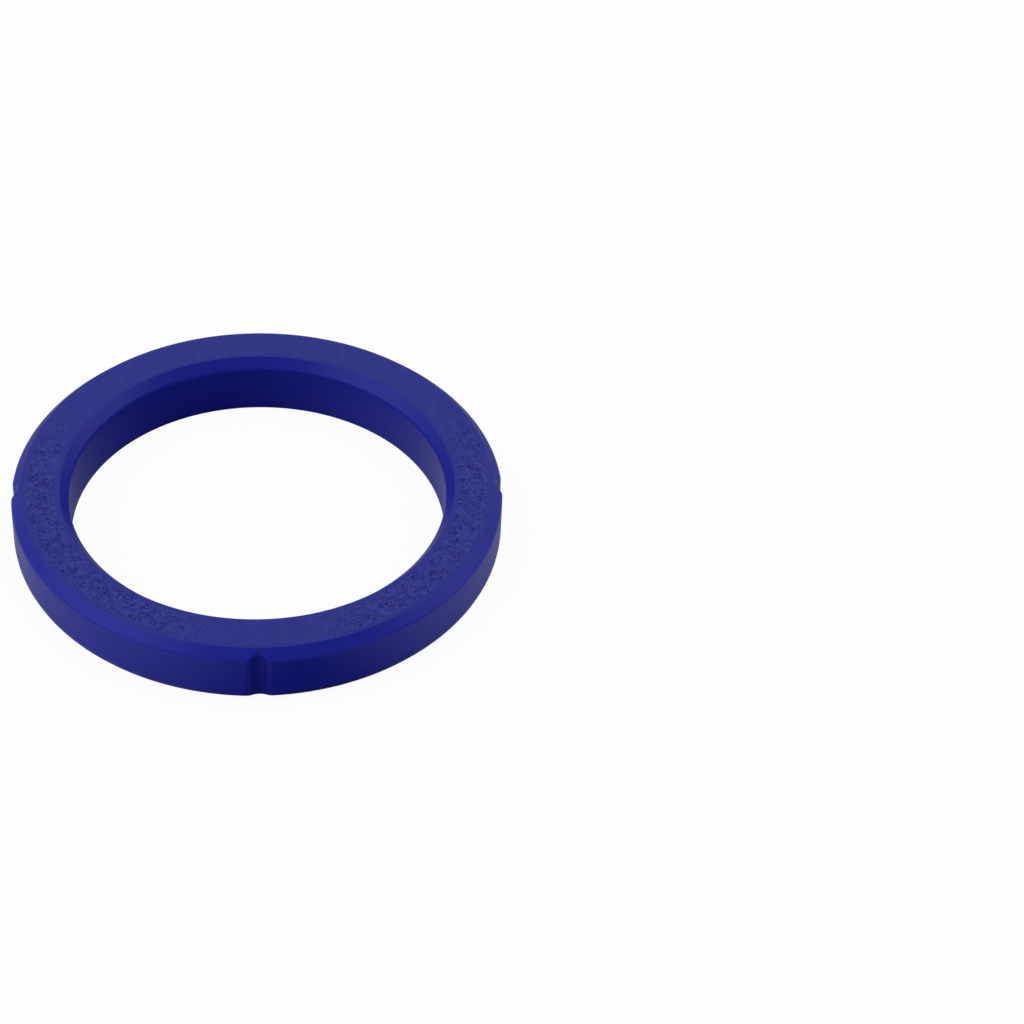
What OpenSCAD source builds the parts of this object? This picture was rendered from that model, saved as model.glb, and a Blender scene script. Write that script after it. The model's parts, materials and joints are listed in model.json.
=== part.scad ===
// Group head gasket: a moulded silicone ring with a seat face rounded at its outer edge,
// a working face bevelled at both edges, and four finger notches down its outer wall.
// The ring lies on its seat face, centred on the origin, with the working face up.

/* [Ring] */
// Outer diameter, across the plain outer wall
outer_d = 73; // [68:0.5:90]
// Diameter of the bore
bore_d = 56; // [44:0.5:60]
// Height from the seat face to the working face
height = 9.5; // [6:0.25:14]

/* [Working face] */
// Height of the bevel at the outer edge
outer_bevel_h = 1.5; // [0.5:0.1:2.5]
// Width of the bevel at the outer edge
outer_bevel_w = 1.5; // [1.2:0.1:2.2]
// Height of the bevel round the bore
inner_bevel_h = 1.7; // [0.5:0.1:3]
// Width of the bevel round the bore
inner_bevel_w = 1.4; // [0.5:0.1:2]
// Radius that softens both borders of the flat face
face_round_r = 0.35; // [0.1:0.05:0.5]
// Radius where the outer bevel runs into the outer wall
outer_blend_r = 0.8; // [0.2:0.1:1.5]
// Radius where the inner bevel runs into the bore
inner_blend_r = 0.9; // [0.2:0.1:1.5]

/* [Seat face] */
// Radius of the outer edge
seat_outer_r = 2; // [0.1:0.1:2.5]
// Radius of the bore's edge
seat_inner_r = 0.25; // [0.1:0.05:1]

/* [Notches] */
// Number of notches, evenly spaced
notch_count = 4; // [1:1:12]
// Depth of a notch below the outer wall, less than the outer bevel's width
notch_depth = 1; // [0.4:0.05:1.1]
// Radius of the notch's hollow
notch_r = 1.25; // [0.9:0.05:2]
// Radius of the rounded lip on each side
lip_r = 1.6; // [0.3:0.05:2]

/* [Hidden] */
silicone_blue = [0.11, 0.13, 0.5];
arc_steps = 6;
// How far a cut runs past the surface that it opens
margin = 1;
// How far the lip's round stands past the wall, so that it meets the wall in a line
lip_proud = 0.03;

outer_r = outer_d / 2;
bore_r = bore_d / 2;

// The section's sharp corners from the bore's foot round to its top, as
// [distance from the axis, height, radius of the corner]
section_corners = [
    [bore_r, 0, seat_inner_r],
    [outer_r, 0, seat_outer_r],
    [outer_r, height - outer_bevel_h, outer_blend_r],
    [outer_r - outer_bevel_w, height, face_round_r],
    [bore_r + inner_bevel_w, height, face_round_r],
    [bore_r, height - inner_bevel_h, inner_blend_r]
];

// The lip's round touches the hollow from outside and reaches just past the wall, so
// its centre is one corner of a triangle whose three sides are known
hollow_rho = outer_r - notch_depth + notch_r;
lip_rho = outer_r - lip_r + lip_proud;
touch = notch_r + lip_r;
lip_angle = acos((lip_rho ^ 2 + hollow_rho ^ 2 - touch ^ 2) / (2 * lip_rho * hollow_rho));

function unit(v) = v / norm(v);
function polar(rho, angle) = [rho * cos(angle), rho * sin(angle)];

// The arc of radius r that takes the place of corner p between its neighbours a and b
function rounded(a, p, b, r) =
    let (
        to_a = unit(a - p),
        to_b = unit(b - p),
        half = acos(to_a * to_b) / 2,
        centre = p + unit(to_a + to_b) * r / sin(half),
        start = p + to_a * r / tan(half) - centre,
        end = p + to_b * r / tan(half) - centre,
        sweep = 180 - 2 * half
    )
    [for (i = [0 : arc_steps])
        let (t = sweep * i / arc_steps)
        centre + (start * sin(sweep - t) + end * sin(t)) / sin(sweep)];

function flat_point(corner) = [corner[0], corner[1]];

// The whole section, each sharp corner turned into its arc
function section_outline(corners) =
    let (n = len(corners))
    [for (i = [0 : n - 1])
        each rounded(
            flat_point(corners[(i + n - 1) % n]),
            flat_point(corners[i]),
            flat_point(corners[(i + 1) % n]),
            corners[i][2]
        )];

// The plain ring, before its notches
module ring() {
    rotate_extrude($fn = 180)
        polygon(section_outline(section_corners));
}

// Plan view of one notch on the +X side: the hollow, and the corners between the
// hollow and the wall less the two round lips
module notch_plan() {
    translate([hollow_rho, 0])
        circle(r = notch_r, $fn = 48);
    difference() {
        polygon([
            [hollow_rho, 0],
            polar(lip_rho, lip_angle),
            polar(outer_r + margin, lip_angle),
            polar(outer_r + margin, -lip_angle),
            polar(lip_rho, -lip_angle)
        ]);
        for (side = [-1, 1])
            translate(polar(lip_rho, side * lip_angle))
                circle(r = lip_r, $fn = 48);
    }
}

// One notch to cut away on the +X side. It runs the full height, and as the bevel
// leans in past its floor, it ends there in an arch
module notch() {
    translate([0, 0, -margin])
        linear_extrude(height + 2 * margin)
            notch_plan();
}

module gasket() {
    color(silicone_blue)
        difference() {
            ring();
            for (i = [0 : notch_count - 1])
                rotate(i * 360 / notch_count - 90)
                    notch();
        }
}

gasket();
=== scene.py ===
"""The looks of a silicone group head gasket that lies flat on its seat face.

The ring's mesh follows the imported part: same bore, outer wall, height, bevels and notches.
It adds what the part's source leaves out: the grain and the fine creases moulded into the
working face, softer ends for the notches, and the finish of the rubber.
"""

import json
import math

import bpy
import numpy as np
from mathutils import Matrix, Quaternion, Vector, noise


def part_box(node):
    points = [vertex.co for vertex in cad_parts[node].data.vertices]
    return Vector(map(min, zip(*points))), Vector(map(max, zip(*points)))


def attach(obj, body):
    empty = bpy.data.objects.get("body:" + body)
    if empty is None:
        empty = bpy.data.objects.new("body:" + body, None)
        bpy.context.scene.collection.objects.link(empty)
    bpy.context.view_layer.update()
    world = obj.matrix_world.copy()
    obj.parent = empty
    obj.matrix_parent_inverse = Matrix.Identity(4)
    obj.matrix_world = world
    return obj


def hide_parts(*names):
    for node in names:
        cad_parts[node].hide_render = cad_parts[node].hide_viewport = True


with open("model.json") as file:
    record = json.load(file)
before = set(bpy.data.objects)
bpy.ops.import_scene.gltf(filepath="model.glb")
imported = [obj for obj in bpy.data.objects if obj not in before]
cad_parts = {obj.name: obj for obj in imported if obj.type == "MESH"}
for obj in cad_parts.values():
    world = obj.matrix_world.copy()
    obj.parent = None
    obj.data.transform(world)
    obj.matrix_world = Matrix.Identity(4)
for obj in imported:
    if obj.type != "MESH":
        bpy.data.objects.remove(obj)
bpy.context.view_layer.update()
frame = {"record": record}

MM = 0.001
MOUNTS = {m["name"]: m for m in frame["record"]["mounts"]}

# Main sizes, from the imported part
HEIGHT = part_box("gasket")[1][2]
OUTER_R = MOUNTS["outer_wall"]["dims"]["r_mm"] * MM
BORE_R = MOUNTS["bore"]["dims"]["r_mm"] * MM

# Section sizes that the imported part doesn't state, as in its source
OUTER_BEVEL_W, OUTER_BEVEL_H = 1.5 * MM, 1.5 * MM
INNER_BEVEL_W, INNER_BEVEL_H = 1.4 * MM, 1.7 * MM
FACE_ROUND_R = 0.35 * MM
OUTER_BLEND_R = 0.8 * MM
INNER_BLEND_R = 0.9 * MM
SEAT_OUTER_R = 2.0 * MM
SEAT_INNER_R = 0.25 * MM

# Notches, with edges that are softened over a short distance
NOTCH_COUNT = 4
NOTCH_DEPTH = 1.0 * MM
NOTCH_R = 1.25 * MM
LIP_R = 1.6 * MM
NOTCH_EDGE_SOFTNESS = 0.2 * MM
LEAST_SOFTNESS = 1e-7
# At the rounded foot a notch partly pulls the whole rounding in, rather than cutting it short
FOOT_PULL = 0.6
# From a little below the bevel's foot and up, it partly runs out, into a low arch on the bevel
RUN_OUT = 0.38
RUN_OUT_BELOW = 0.3 * MM
RUN_OUT_HEIGHT = 1.2 * MM

# Mesh density: steps round the ring, plain and on the grained band, and round each notch
PLAIN_STEPS = 240
NOTCH_STEPS = 36
NOTCH_HALF_ARC = math.radians(4.2)
BAND_STEPS = 1560
# and rows along each straight line and each arc of the section
BAND_ROWS = 38
BEVEL_ROWS = 12
WALL_ROWS = 9
SEAT_ROWS = 6
BORE_ROWS = 7
INNER_BEVEL_ROWS = 6
ARC_ROWS = 6

# The grained band of the working face, and the relief moulded into it
BAND_INNER_R = 29.95 * MM
BAND_OUTER_R = 34.50 * MM
BAND_FADE = 0.4 * MM
GRAIN_SIZE = 0.42 * MM
GRAIN_DEPTH = 0.08 * MM
# The grain is made of folds: how far they are bent, how steep their sides are, how far they are
# filled up in places, and how far the whole is lowered
FOLD_BEND = 1.2
FOLD_STEEPNESS = 5.0
FOLD_FILL = 1.2
FOLD_LOWERING = 1.1
# The noises for the two ways of bending and for the filling: each one's rate against the grain's
# own, and a shift that keeps it apart from the others
FOLD_NOISES = ((0.6, (9, 2, 5)), (0.6, (1, 7, 3)), (0.45, (4, 4, 4)))
# The grain is weaker at the ring's front and back. It has its least share where |x| / r is under the
# first of SIDE and its full share above the second, and it fades from one to the other of BACK in y / r
GRAIN_LEAST = 0.25
SIDE = (0.12, 0.57)
BACK = (0.05, 0.55)
# Fine creases left by the mould just inside both borders of the flat
FACE_EDGE_GAP = 0.35 * MM
CREASE_IN = 0.09 * MM
CREASE_HALF_W = 0.08 * MM
CREASE_DEPTH = 0.04 * MM

# Camera: the picture is 1024 pixels wide, and the ring's centre falls on CENTRE_PX
PICTURE_PX = 1024
SENSOR_MM = 36.0
CLIP_START = 0.01
FOCAL_PX = 3055.0
CAMERA_DISTANCE = 0.463
CAMERA_ELEVATION = math.radians(42.6)
CAMERA_SWING = math.radians(-0.5)
CAMERA_ROLL = math.radians(1.03)
CENTRE_PX = (258.90, 528.10)

# Painted shade and highlights on the runs that differ: painted shade along the fine creases, and a
# painted highlight along the rim and the shoulder at the front. Each gives how dark (below nought) or
# light, the share of it that stays everywhere, and its stretches, as the degrees of the middle from the
# front toward +X and how many degrees away it has faded
PAINTED_EDGE_LIGHT_AND_SHADE = {
    "outer crease": (-1.20, 0.08, ((-42, 38), (42, 34))),
    "inner crease": (-1.10, 0.08, ((140, 42),)),
    "rim": (0.08, 0.0, ((0, 60),)),
    "shoulder": (0.07, 0.0, ((0, 70),)),
}
# How much painted shade darkens the hollows of the notches
PAINTED_NOTCH_SHADE = 0.8

# Colours, linear
DEEP_BLUE = (0.0028, 0.0085, 0.275, 1)
# The grained band's blue, greyer than the rubber's own: a painted sheen
BAND_BLUE_PAINTED_SHEEN = (0.0078, 0.0155, 0.224, 1)
# Painted shade for the grain's pits, the creases and the notches, and a painted highlight for its crests,
# the flanks and the front rim and shoulder
PAINTED_SHADE_BLUE = (0.0002, 0.0006, 0.160, 1)
PAINTED_HIGHLIGHT_BLUE = (0.0600, 0.0720, 0.360, 1)
# How far the flat's smooth rim takes the band's blue and its painted sheen
RIM_PAINTED_SHEEN = 0.75
FLOOR_WHITE = (0.95, 0.95, 0.95, 1)
FLOOR_DARK = (0.10, 0.10, 0.10, 1)
FLOOR_PALE = (0.63, 0.63, 0.63, 1)

# Rubber: where the flat's own look begins and is full, as depths below the working face
FLAT_FROM, FLAT_TO = 0.16 * MM, 0.10 * MM
# Its finest creases, which get painted shade, the flanks beside them, which get a painted highlight,
# and the gaps that break both
STROKE_SIZE = 0.68 * MM
STROKE_BEND = 1.1
CREASE_MIDDLE, CREASE_REACH = 0.5, 0.05
FLANK_MIDDLE, FLANK_REACH = 0.585, 0.04
GAP_SIZE = 1.1 * MM
GAP_FROM, GAP_TO = 0.38, 0.55
# How strongly each shows in the colour: the painted highlight on the grain's crests and the front
# rim and shoulder, the painted shade in its pits, the fine creases and the notches, then the painted
# highlight on the flanks and the painted shade in the finest creases
PAINTED_HIGHLIGHT_SHARE = 0.34
PAINTED_SHADE_SHARE = 0.42
PAINTED_FLANK_HIGHLIGHT = 0.62
PAINTED_CREASE_SHADE = 0.70
# Large soft clouds in tone and gloss
CLOUD_SIZE = 5 * MM
CLOUD_TONE = 0.16
CLOUD_ROUGHNESS = 0.10
# Gloss
ROUGHNESS = 0.36
BAND_ROUGHNESS = 0.14
CREASE_ROUGHNESS = 0.40
SPECULAR = 0.42
RUBBER_IOR = 1.43
# Relief too fine for the mesh: its depth where it is one, and the heights of skin and flanks in it
BUMP_DEPTH = 0.06 * MM
SKIN_SIZE = 0.6 * MM
SKIN_HEIGHT = 0.06
FLANK_HEIGHT = 0.25

# Light
AMBIENT = 0.65
GLOSS_DARK = 0.03
DARK_TOWARD = (0.2, -0.98, 0.0)
DARK_FROM, DARK_TO = 0.27, 0.62
GLOSS_LOW = 0.60
LOW_FROM, LOW_TO = 0.20, 0.70
# Two soft panels that the gloss sees: the way to each one, the cosines at its rim and its middle,
# and how much brighter than the studio it is
PANELS = (
    ((-0.82, -0.32, 0.48), 0.80, 0.96, 0.50),
    ((0.89, 0.05, 0.45), 0.86, 0.98, 0.42),
)
# Softboxes: the place, the side of the square, and the share of full white light that it gives
SOFTBOXES = {
    "top_box": ((0.0, 0.0, 1.2), 0.9, 0.20),
    "left_box": ((-0.86, -0.34, 0.5), 1.2, 0.45),
    "right_box": ((0.9, 0.1, 0.5), 0.8, 0.18),
}
# Floor, with the share of the white that it shows even in shadow. For the ring it has painted shade:
# a dark strip that runs back at a slant, and a darker stretch behind the ring
FLOOR_SIZE = 6.0
FLOOR_GLOW = 0.94
STRIP_SLANT = -0.21
STRIP_SHIFT = -1.7 * MM
STRIP_HALF_W = 32 * MM
BEHIND_FROM, BEHIND_TO = 22 * MM, 42 * MM
BEHIND_DARKER = 0.6


def unit(v):
    """The vector at length one."""
    return v / np.linalg.norm(v)


def smooth_step(value, low, high):
    """A smooth rise from nought at low to one at high, which may be the smaller of the two."""
    t = np.clip((value - low) / (high - low), 0, 1)
    return t * t * (3 - 2 * t)


def rounded(a, p, b, r):
    """Points of the arc of radius r that takes the place of corner p between a and b."""
    to_a, to_b = unit(a - p), unit(b - p)
    half = math.acos(float(np.dot(to_a, to_b))) / 2
    centre = p + unit(to_a + to_b) * r / math.sin(half)
    start = p + to_a * r / math.tan(half) - centre
    end = p + to_b * r / math.tan(half) - centre
    sweep = math.pi - 2 * half
    turns = [sweep * i / ARC_ROWS for i in range(ARC_ROWS + 1)]
    return [centre + (start * math.sin(sweep - t) + end * math.sin(t)) / math.sin(sweep) for t in turns]


def straight(a, b, rows):
    """Points strictly between a and b, which split the line into that many rows."""
    return [a + (b - a) * i / rows for i in range(1, rows)]


def crease(rho):
    """Points across one fine crease of the flat, from the inside out."""
    shape = ((-1, 0), (-0.5, 0.5), (0, 1), (0.5, 0.5), (1, 0))
    return [np.array((rho + t * CREASE_HALF_W, HEIGHT - depth * CREASE_DEPTH)) for t, depth in shape]


def section():
    """The ring's section: first the run of (radius, height) points from the grained band's outer
    edge round the outside and the seat face to its inner edge, with a name for what each one is
    part of, then the band itself."""
    corners = [np.array(c) for c in (
        (BORE_R, 0.0),
        (OUTER_R, 0.0),
        (OUTER_R, HEIGHT - OUTER_BEVEL_H),
        (OUTER_R - OUTER_BEVEL_W, HEIGHT),
        (BORE_R + INNER_BEVEL_W, HEIGHT),
        (BORE_R, HEIGHT - INNER_BEVEL_H),
    )]
    radii = (SEAT_INNER_R, SEAT_OUTER_R, OUTER_BLEND_R, FACE_ROUND_R, FACE_ROUND_R, INNER_BLEND_R)
    n = len(corners)
    arcs = [rounded(corners[i - 1], corners[i], corners[(i + 1) % n], radii[i]) for i in range(n)]
    foot_in, foot_out, bevel_foot, face_out, face_in, bevel_root = arcs
    band_out = np.array((face_out[-1][0] - FACE_EDGE_GAP, HEIGHT))
    band_in = np.array((face_in[0][0] + FACE_EDGE_GAP, HEIGHT))
    runs = (
        ("band", [band_out]),
        ("outer crease", crease(face_out[-1][0] - CREASE_IN)),
        ("rim", face_out[::-1]),
        ("bevel", straight(face_out[0], bevel_foot[-1], BEVEL_ROWS)),
        ("shoulder", bevel_foot[::-1]),
        ("wall", straight(bevel_foot[0], foot_out[-1], WALL_ROWS) + foot_out[::-1]),
        ("seat", straight(foot_out[0], foot_in[-1], SEAT_ROWS) + foot_in[::-1]),
        ("bore", straight(foot_in[0], bevel_root[-1], BORE_ROWS) + bevel_root[::-1]),
        ("inner bevel", straight(bevel_root[0], face_in[-1], INNER_BEVEL_ROWS) + face_in[::-1]),
        ("inner crease", crease(face_in[0][0] + CREASE_IN)),
        ("band", [band_in]),
    )
    outside = np.array([point for _, run in runs for point in run])
    names = [name for name, run in runs for _ in run]
    band = [band_in] + straight(band_in, band_out, BAND_ROWS) + [band_out]
    return outside, names, np.array(band)


def notch_angles():
    """The middle of each notch, as an angle from +X, the first one at the front."""
    return [2 * math.pi * i / NOTCH_COUNT - math.pi / 2 for i in range(NOTCH_COUNT)]


def plain_angles():
    """Angles of the plain grid: even ones, with a finer stretch across each notch."""
    gap = 2 * math.pi / NOTCH_COUNT - 2 * NOTCH_HALF_ARC
    between = PLAIN_STEPS // NOTCH_COUNT
    angles = []
    for middle in notch_angles():
        start = middle - NOTCH_HALF_ARC
        angles += [start + 2 * NOTCH_HALF_ARC * i / NOTCH_STEPS for i in range(NOTCH_STEPS)]
        after = middle + NOTCH_HALF_ARC
        angles += [after + gap * i / between for i in range(between)]
    return np.array(angles)


def notch_depth(angles):
    """How far each angle's wall lies under the plain outer wall: a round hollow with round lips."""
    touch = NOTCH_R + LIP_R
    hollow_rho = OUTER_R - NOTCH_DEPTH + NOTCH_R
    lip_rho = OUTER_R - LIP_R
    lip_angle = math.acos((lip_rho**2 + hollow_rho**2 - touch**2) / (2 * lip_rho * hollow_rho))
    # The hollow meets the lip on the line between their centres
    hollow_centre = np.array((hollow_rho, 0.0))
    lip_centre = lip_rho * np.array((math.cos(lip_angle), math.sin(lip_angle)))
    contact = hollow_centre + (lip_centre - hollow_centre) * NOTCH_R / touch
    contact_angle = math.atan2(contact[1], contact[0])
    depth = np.zeros_like(angles)
    for middle in notch_angles():
        off = np.abs((angles - middle + math.pi) % (2 * math.pi) - math.pi)
        side = hollow_rho * np.sin(off)
        hollow = hollow_rho * np.cos(off) - np.sqrt(np.maximum(NOTCH_R**2 - side**2, 0))
        reach = lip_rho * np.sin(off - lip_angle)
        lip = lip_rho * np.cos(off - lip_angle) + np.sqrt(np.maximum(LIP_R**2 - reach**2, 0))
        rho = np.where(off < contact_angle, hollow, np.where(off < lip_angle, lip, OUTER_R))
        depth = np.maximum(depth, OUTER_R - rho)
    return depth


def soft_min(a, b, softness):
    """The smaller of two lengths, blended over a small distance."""
    h = np.clip(0.5 + 0.5 * (b - a) / softness, 0, 1)
    return b + (a - b) * h - softness * h * (1 - h)


def notched(rho, z, wall, depth):
    """Radii of one section row once the notches have been cut, angle by angle."""
    softness = max(min(OUTER_R - rho, NOTCH_EDGE_SOFTNESS), LEAST_SOFTNESS)
    cut = soft_min(np.full_like(wall, rho), wall, softness)
    cut = rho + (cut - rho) * np.clip(depth / NOTCH_EDGE_SOFTNESS, 0, 1)
    start = HEIGHT - OUTER_BEVEL_H - RUN_OUT_BELOW
    cut = rho + (cut - rho) * (1 - RUN_OUT * smooth_step(z, start, start + RUN_OUT_HEIGHT))
    root = OUTER_R - SEAT_OUTER_R
    if z >= SEAT_OUTER_R or rho <= root:
        return cut
    pulled = root + (rho - root) * (wall - root) / SEAT_OUTER_R
    return cut + (pulled - cut) * FOOT_PULL


def outside_points(run, angles):
    """Places of the plain grid: each section point at each angle, with the notches cut, and how
    deep each one is in a notch, from nought to one."""
    depth = notch_depth(angles)
    wall = OUTER_R - depth
    rows, sunk = [], []
    for rho, z in run:
        there = notched(rho, z, wall, depth)
        rows.append(np.stack([there * np.cos(angles), there * np.sin(angles), np.full_like(there, z)], -1))
        sunk.append(np.clip((rho - there) / NOTCH_DEPTH, 0, 1))
    return np.array(rows), np.array(sunk)


def sideways(angles):
    """One at the ring's two sides, falling to nought at its front and its back."""
    return smooth_step(np.abs(np.cos(angles)), *SIDE) * (1 - smooth_step(np.sin(angles), *BACK))


def around(angles, middle, away):
    """One at that many degrees from the front toward +X, falling to nought a given number away."""
    turned = np.degrees(np.arctan2(np.cos(angles), -np.sin(angles)))
    off = (turned - middle + 180) % 360 - 180
    return smooth_step(np.abs(off), away, 0)


def band_strength(rho):
    """How strong the grain is at that radius: full on the band, fading out to both smooth rims."""
    inner = smooth_step(rho, BAND_INNER_R, BAND_INNER_R + BAND_FADE)
    return inner * smooth_step(rho, BAND_OUTER_R, BAND_OUTER_R - BAND_FADE)


def grain_height(x, y):
    """The height of the moulded leather grain at a place on the face, from about -1 up to 1."""
    p = Vector((x, y, 0)) / GRAIN_SIZE
    across, along, fill = [noise.noise(p * rate + Vector(shift)) for rate, shift in FOLD_NOISES]
    fold = abs(noise.noise(p + Vector((across, along, 0)) * FOLD_BEND))
    crest = min(fold * FOLD_STEEPNESS + max(fill, 0) * FOLD_FILL, 1.0)
    return 2 * crest - FOLD_LOWERING


def band_points(run, angles):
    """Places of the grained grid, sunk by the grain, and the grain's height at each of them."""
    rows, grain = [], []
    even = GRAIN_LEAST + (1 - GRAIN_LEAST) * sideways(angles)
    for rho, z in run:
        x, y = rho * np.cos(angles), rho * np.sin(angles)
        strength = band_strength(rho) * even
        height = np.clip([grain_height(*place) for place in zip(x, y)], -1, 1)
        rows.append(np.stack([x, y, z - GRAIN_DEPTH * strength * (1 - height) / 2], -1))
        grain.append(height * strength)
    return np.array(rows), np.array(grain)


def painted_edge_light_and_shade(angles):
    """The painted shade (below nought) and painted highlight of each named run of the section at each
    angle.
    """
    tones = {}
    for name, (tone, least, stretches) in PAINTED_EDGE_LIGHT_AND_SHADE.items():
        spread = np.max([around(angles, middle, away) for middle, away in stretches], axis=0)
        tones[name] = tone * (least + (1 - least) * spread)
    return tones


def painted_shade_and_highlight(run, names, angles, sunk):
    """The painted shade and highlight at each point of the plain grid: painted shade in the fine
    creases and down in the notches, and a painted highlight along the front edges."""
    tones = painted_edge_light_and_shade(angles)
    shade = np.zeros((len(run), len(angles)))
    for i, (_, z) in enumerate(run):
        if names[i].endswith("crease"):
            shade[i] = tones[names[i]] * (HEIGHT - z) / CREASE_DEPTH
        elif names[i] in tones:
            shade[i] = tones[names[i]]
    return shade - PAINTED_NOTCH_SHADE * smooth_step(sunk, 0, 1)


def grid_faces(rows, steps, first):
    """Quads of a grid that closes round the ring, from its row and step counts and first point."""
    faces = []
    for r in range(rows - 1):
        here, there = first + r * steps, first + (r + 1) * steps
        for i in range(steps):
            j = (i + 1) % steps
            faces.append((there + i, there + j, here + j, here + i))
    return faces


def zip_faces(row_a, angles_a, row_b, angles_b):
    """Triangles between two closed rows of points at different angles, from each row's first
    point. At every step the row that is behind moves on."""
    turn = 2 * math.pi
    na, nb = len(angles_a), len(angles_b)
    off = (angles_b - angles_a[0] + math.pi) % turn - math.pi
    start = int(np.argmin(np.abs(off)))
    ahead_a = np.append((angles_a - angles_a[0]) % turn, turn)
    ahead_b = off[start] + np.append((np.roll(angles_b, -start) - angles_b[start]) % turn, turn)
    faces = []
    i = j = 0
    while i < na or j < nb:
        a, b = row_a + i % na, row_b + (start + j) % nb
        if j >= nb or (i < na and ahead_a[i + 1] <= ahead_b[j + 1]):
            faces.append((a, row_a + (i + 1) % na, b))
            i += 1
        else:
            faces.append((a, row_b + (start + j + 1) % nb, b))
            j += 1
    return faces


def ring_mesh():
    """The whole ring as one closed mesh: a plain grid, a grained grid, and two zipped seams."""
    outside, names, band = section()
    plain, fine = plain_angles(), np.linspace(0, 2 * math.pi, BAND_STEPS, endpoint=False)
    plain_rows, sunk = outside_points(outside, plain)
    band_rows, grain = band_points(band[1:-1], fine)
    points = np.concatenate([plain_rows.reshape(-1, 3), band_rows.reshape(-1, 3)])
    first_band = len(plain_rows) * len(plain)
    last_band = first_band + (len(band_rows) - 1) * len(fine)
    last_plain = (len(plain_rows) - 1) * len(plain)
    faces = grid_faces(len(plain_rows), len(plain), 0)
    faces += grid_faces(len(band_rows), len(fine), first_band)
    faces += [tuple(reversed(face)) for face in zip_faces(last_plain, plain, first_band, fine)]
    faces += zip_faces(0, plain, last_band, fine)
    mesh = bpy.data.meshes.new("gasket_ring")
    mesh.from_pydata(points.tolist(), [], faces)
    # The grain attribute holds the grain's height on the band, and on the plain grid painted shade in the
    # creases and notches and a painted highlight along the front rim and shoulder
    shade = np.concatenate([painted_shade_and_highlight(outside, names, plain, sunk).ravel(), grain.ravel()])
    mesh.attributes.new("grain", "FLOAT", "POINT").data.foreach_set("value", shade.astype(np.float32))
    mesh.shade_smooth()
    return mesh


class Nodes:
    """Short calls for adding and joining nodes in one tree."""

    def __init__(self, tree):
        self.tree = tree
        tree.nodes.clear()

    def add(self, kind, **settings):
        node = self.tree.nodes.new(kind)
        for name, value in settings.items():
            setattr(node, name, value)
        return node

    def link(self, a, b):
        self.tree.links.new(a, b)

    def math(self, operation, a, b=None, clamp=False):
        node = self.add("ShaderNodeMath", operation=operation, use_clamp=clamp)
        for socket, value in zip(node.inputs, (a, b)):
            if value is None:
                continue
            if isinstance(value, (int, float)):
                socket.default_value = value
            else:
                self.link(value, socket)
        return node.outputs[0]

    def scaled(self, value, factor, start):
        return self.math("ADD", self.math("MULTIPLY", value, factor), start)

    def smooth_step(self, value, low, high):
        node = self.add("ShaderNodeMapRange", interpolation_type="SMOOTHSTEP")
        self.link(value, node.inputs["Value"])
        node.inputs["From Min"].default_value = low
        node.inputs["From Max"].default_value = high
        return node.outputs["Result"]

    def near(self, value, middle, reach):
        return self.smooth_step(self.math("ABSOLUTE", self.math("SUBTRACT", value, middle)), reach, 0.0)

    def along(self, direction, way):
        node = self.add("ShaderNodeVectorMath", operation="DOT_PRODUCT")
        self.link(direction, node.inputs[0])
        node.inputs[1].default_value = way
        return node.outputs["Value"]

    def noise(self, place, size, detail=2.0, roughness=0.5, distortion=0.0):
        node = self.add("ShaderNodeTexNoise", noise_dimensions="3D")
        self.link(place, node.inputs["Vector"])
        node.inputs["Scale"].default_value = 1 / size
        node.inputs["Detail"].default_value = detail
        node.inputs["Roughness"].default_value = roughness
        node.inputs["Distortion"].default_value = distortion
        return node.outputs["Fac"]

    def pick(self, factor, a, b):
        node = self.add("ShaderNodeMix", data_type="FLOAT")
        self.link(factor, node.inputs["Factor"])
        for socket, value in ((node.inputs[2], a), (node.inputs[3], b)):
            if isinstance(value, float):
                socket.default_value = value
            else:
                self.link(value, socket)
        return node.outputs[0]

    def mix_colour(self, factor, a, b):
        node = self.add("ShaderNodeMix", data_type="RGBA")
        self.link(factor, node.inputs["Factor"])
        for socket, value in ((node.inputs[6], a), (node.inputs[7], b)):
            if isinstance(value, tuple):
                socket.default_value = value
            else:
                self.link(value, socket)
        return node.outputs[2]


def face_masks(n, place):
    """Three masks from nought to one: the whole flat of the working face, the grained band within
    it, and the part of the band where the grain stands sharp, at the ring's sides."""
    axes = n.add("ShaderNodeSeparateXYZ")
    n.link(place, axes.inputs[0])
    x, y, z = axes.outputs
    rho = n.math("SQRT", n.math("ADD", n.math("MULTIPLY", x, x), n.math("MULTIPLY", y, y)))
    inner = n.smooth_step(rho, BAND_INNER_R, BAND_INNER_R + BAND_FADE)
    outer = n.smooth_step(rho, BAND_OUTER_R, BAND_OUTER_R - BAND_FADE)
    flat = n.smooth_step(z, HEIGHT - FLAT_FROM, HEIGHT - FLAT_TO)
    mask = n.math("MULTIPLY", n.math("MULTIPLY", inner, outer), flat)
    side = n.smooth_step(n.math("ABSOLUTE", n.math("DIVIDE", x, rho)), *SIDE)
    fore = n.smooth_step(n.math("DIVIDE", y, rho), *reversed(BACK))
    share = n.scaled(n.math("MULTIPLY", side, fore), 1 - GRAIN_LEAST, GRAIN_LEAST)
    return flat, mask, n.math("MULTIPLY", mask, share)


def fine_creases(n, place):
    """The finest creases of the grain, which get painted shade, and the flanks on one side of them,
    which get a painted highlight, both from nought away from them to one along their middles."""
    worm = n.noise(place, STROKE_SIZE, detail=1.5, distortion=STROKE_BEND)
    broken = n.smooth_step(n.noise(place, GAP_SIZE, detail=1.0), GAP_FROM, GAP_TO)
    crease_line = n.near(worm, CREASE_MIDDLE, CREASE_REACH)
    flank = n.near(worm, FLANK_MIDDLE, FLANK_REACH)
    return n.math("MULTIPLY", crease_line, broken), n.math("MULTIPLY", flank, broken)


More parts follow.
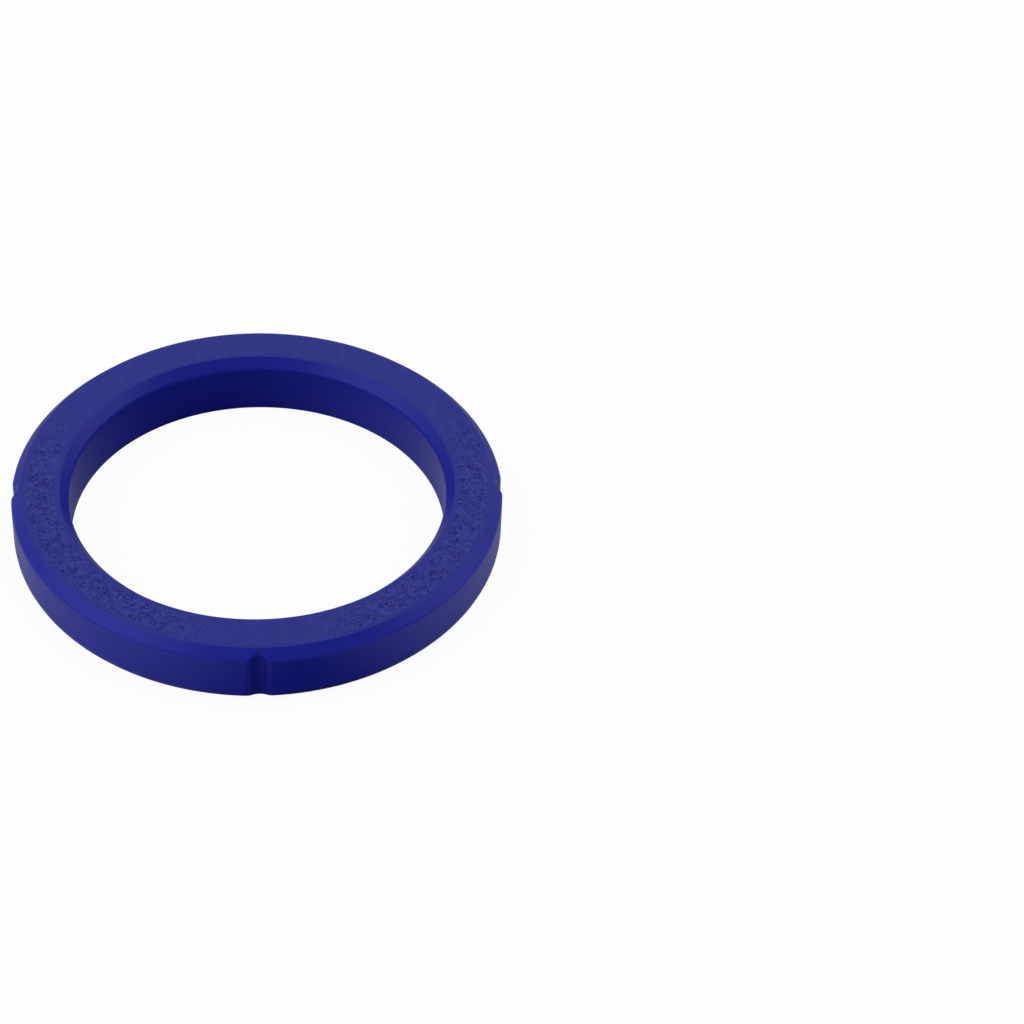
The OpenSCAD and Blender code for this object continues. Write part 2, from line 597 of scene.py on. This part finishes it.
def silicone():
    """Moulded blue silicone rubber: satin on the bevels and walls, rougher on the grain, which a painted
    sheen makes greyer.
    """
    material = bpy.data.materials.new("blue_silicone")
    material.use_nodes = True
    n = Nodes(material.node_tree)
    out = n.add("ShaderNodeOutputMaterial")
    shader = n.add("ShaderNodeBsdfPrincipled")
    n.link(shader.outputs[0], out.inputs[0])
    place = n.add("ShaderNodeTexCoord").outputs["Object"]
    flat, mask, sharp = face_masks(n, place)
    # The grain attribute also carries the painted shade and painted highlight of the plain grid
    grain = n.add("ShaderNodeAttribute", attribute_name="grain").outputs["Fac"]
    creases, flanks = (n.math("MULTIPLY", part, sharp) for part in fine_creases(n, place))
    cloud = n.noise(place, CLOUD_SIZE, detail=3)

    # The band's blue with its painted sheen, in full on the grain and mostly on the rest of the flat
    rim = n.math("MULTIPLY", flat, RIM_PAINTED_SHEEN)
    painted_sheen = n.math("ADD", rim, n.math("MULTIPLY", mask, 1 - RIM_PAINTED_SHEEN))
    colour = n.mix_colour(painted_sheen, DEEP_BLUE, BAND_BLUE_PAINTED_SHEEN)
    # Painted highlight on the crests, the flanks and the front rim and shoulder; painted shade in the
    # pits, the creases and the notches
    for share, tint in (
        (n.math("MULTIPLY", grain, PAINTED_HIGHLIGHT_SHARE, clamp=True), PAINTED_HIGHLIGHT_BLUE),
        (n.math("MULTIPLY", grain, -PAINTED_SHADE_SHARE, clamp=True), PAINTED_SHADE_BLUE),
        (n.math("MULTIPLY", flanks, PAINTED_FLANK_HIGHLIGHT), PAINTED_HIGHLIGHT_BLUE),
        (n.math("MULTIPLY", creases, PAINTED_CREASE_SHADE), PAINTED_SHADE_BLUE),
    ):
        colour = n.mix_colour(share, colour, tint)
    tone = n.add("ShaderNodeHueSaturation")
    n.link(n.scaled(cloud, CLOUD_TONE, 1 - CLOUD_TONE / 2), tone.inputs["Value"])
    n.link(colour, tone.inputs["Color"])
    n.link(tone.outputs[0], shader.inputs["Base Color"])

    roughness = n.scaled(mask, BAND_ROUGHNESS, ROUGHNESS - CLOUD_ROUGHNESS / 2)
    roughness = n.math("ADD", roughness, n.math("MULTIPLY", cloud, CLOUD_ROUGHNESS))
    roughness = n.math("ADD", roughness, n.math("MULTIPLY", creases, CREASE_ROUGHNESS), clamp=True)
    n.link(roughness, shader.inputs["Roughness"])
    shader.inputs["Specular IOR Level"].default_value = SPECULAR
    shader.inputs["IOR"].default_value = RUBBER_IOR

    skin = n.math("MULTIPLY", n.noise(place, SKIN_SIZE, detail=3, roughness=0.6), SKIN_HEIGHT)
    raised = n.math("ADD", skin, n.math("MULTIPLY", flanks, FLANK_HEIGHT))
    bump = n.add("ShaderNodeBump")
    bump.inputs["Distance"].default_value = BUMP_DEPTH
    bump.inputs["Strength"].default_value = 1.0
    n.link(n.math("SUBTRACT", raised, creases), bump.inputs["Height"])
    n.link(bump.outputs[0], shader.inputs["Normal"])
    return material


def make_ring():
    """The ring, in place of the plain CAD node."""
    ring = bpy.data.objects.new("gasket_ring", ring_mesh())
    bpy.context.collection.objects.link(ring)
    ring.data.materials.append(silicone())
    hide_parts("gasket")
    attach(ring, "root")


def make_floor():
    """A white floor to the camera that keeps the ring's shadow. What the ring itself sees of it is
    grey, with painted shade along the middle and behind it."""
    mesh = bpy.data.meshes.new("studio_floor")
    h = FLOOR_SIZE / 2
    mesh.from_pydata([(-h, -h, 0), (h, -h, 0), (h, h, 0), (-h, h, 0)], [], [(0, 1, 2, 3)])
    floor = bpy.data.objects.new("studio_floor", mesh)
    bpy.context.collection.objects.link(floor)
    material = bpy.data.materials.new("studio_white")
    material.use_nodes = True
    n = Nodes(material.node_tree)
    out = n.add("ShaderNodeOutputMaterial")
    axes = n.add("ShaderNodeSeparateXYZ")
    n.link(n.add("ShaderNodeTexCoord").outputs["Object"], axes.inputs[0])
    x, y, _ = axes.outputs
    off = n.math("ABSOLUTE", n.math("SUBTRACT", x, n.scaled(y, STRIP_SLANT, STRIP_SHIFT)))
    beside = n.smooth_step(off, 0.0, STRIP_HALF_W)
    behind = n.scaled(n.smooth_step(y, BEHIND_FROM, BEHIND_TO), -BEHIND_DARKER, 1.0)
    pale = n.math("MULTIPLY", beside, behind)
    grey, white = n.add("ShaderNodeBsdfDiffuse"), n.add("ShaderNodeBsdfDiffuse")
    n.link(n.mix_colour(pale, FLOOR_DARK, FLOOR_PALE), grey.inputs["Color"])
    white.inputs["Color"].default_value = FLOOR_WHITE
    glow = n.add("ShaderNodeEmission")
    shown, either = n.add("ShaderNodeMixShader"), n.add("ShaderNodeMixShader")
    shown.inputs[0].default_value = FLOOR_GLOW
    n.link(white.outputs[0], shown.inputs[1])
    n.link(glow.outputs[0], shown.inputs[2])
    n.link(n.add("ShaderNodeLightPath").outputs["Is Camera Ray"], either.inputs[0])
    n.link(grey.outputs[0], either.inputs[1])
    n.link(shown.outputs[0], either.inputs[2])
    n.link(either.outputs[0], out.inputs[0])
    mesh.materials.append(material)


def make_world():
    """Even light for the diffuse side, white for the camera, and for gloss a white studio that is
    dark toward its open front and greyer low down, with a soft panel on each side."""
    world = bpy.data.worlds.new("studio")
    world.use_nodes = True
    n = Nodes(world.node_tree)
    out = n.add("ShaderNodeOutputWorld")
    back = n.add("ShaderNodeBackground")
    path = n.add("ShaderNodeLightPath")
    axes = n.add("ShaderNodeSeparateXYZ")
    direction = n.add("ShaderNodeTexCoord").outputs["Generated"]
    n.link(direction, axes.inputs[0])
    front = n.smooth_step(n.along(direction, DARK_TOWARD), DARK_TO, DARK_FROM)
    low = n.smooth_step(axes.outputs[2], LOW_FROM, LOW_TO)
    front = n.scaled(front, 1 - GLOSS_DARK, GLOSS_DARK)
    gloss = n.math("MULTIPLY", front, n.scaled(low, 1 - GLOSS_LOW, GLOSS_LOW))
    for way, rim, middle, brighter in PANELS:
        panel = n.smooth_step(n.along(direction, way), rim, middle)
        gloss = n.math("ADD", gloss, n.math("MULTIPLY", panel, brighter))
    strength = n.pick(path.outputs["Is Glossy Ray"], AMBIENT, gloss)
    n.link(n.pick(path.outputs["Is Camera Ray"], strength, 1.0), back.inputs["Strength"])
    n.link(back.outputs[0], out.inputs[0])
    bpy.context.scene.world = world


def softbox(name, place, size, share):
    """A square lamp facing the ring, which a surface square to it sees as that share of full white
    light. Its gloss is left to the world's panels."""
    lamp = bpy.data.lights.new(name, "AREA")
    lamp.shape = "SQUARE"
    lamp.size = size
    lamp.energy = share * math.pi**2 * Vector(place).length_squared
    box = bpy.data.objects.new(name, lamp)
    box.location = place
    box.rotation_mode = "QUATERNION"
    box.rotation_quaternion = (-Vector(place)).to_track_quat("-Z", "Y")
    box.visible_camera = box.visible_glossy = False
    bpy.context.collection.objects.link(box)


def make_camera():
    """The photograph's view: the ring's centre is put on its own pixel by turning the camera."""
    reach = math.cos(CAMERA_ELEVATION)
    back = Vector((-reach * math.sin(CAMERA_SWING), -reach * math.cos(CAMERA_SWING),
                   math.sin(CAMERA_ELEVATION)))
    look = (-back).to_track_quat("-Z", "Y") @ Quaternion((0, 0, 1), -CAMERA_ROLL)
    to_centre = Vector((CENTRE_PX[0] - PICTURE_PX / 2, PICTURE_PX / 2 - CENTRE_PX[1], -FOCAL_PX))
    turn = to_centre.rotation_difference(Vector((0, 0, -1)))
    data = bpy.data.cameras.new("camera")
    data.sensor_width = SENSOR_MM
    data.lens = FOCAL_PX / PICTURE_PX * SENSOR_MM
    data.clip_start = CLIP_START
    camera = bpy.data.objects.new("camera", data)
    camera.location = back * CAMERA_DISTANCE
    camera.rotation_mode = "QUATERNION"
    camera.rotation_quaternion = look @ turn
    bpy.context.collection.objects.link(camera)
    bpy.context.scene.camera = camera


make_camera()
make_ring()
make_floor()
make_world()
for box_name, (box_place, box_size, box_share) in SOFTBOXES.items():
    softbox(box_name, box_place, box_size, box_share)

bpy.context.scene.view_settings.view_transform = "Standard"
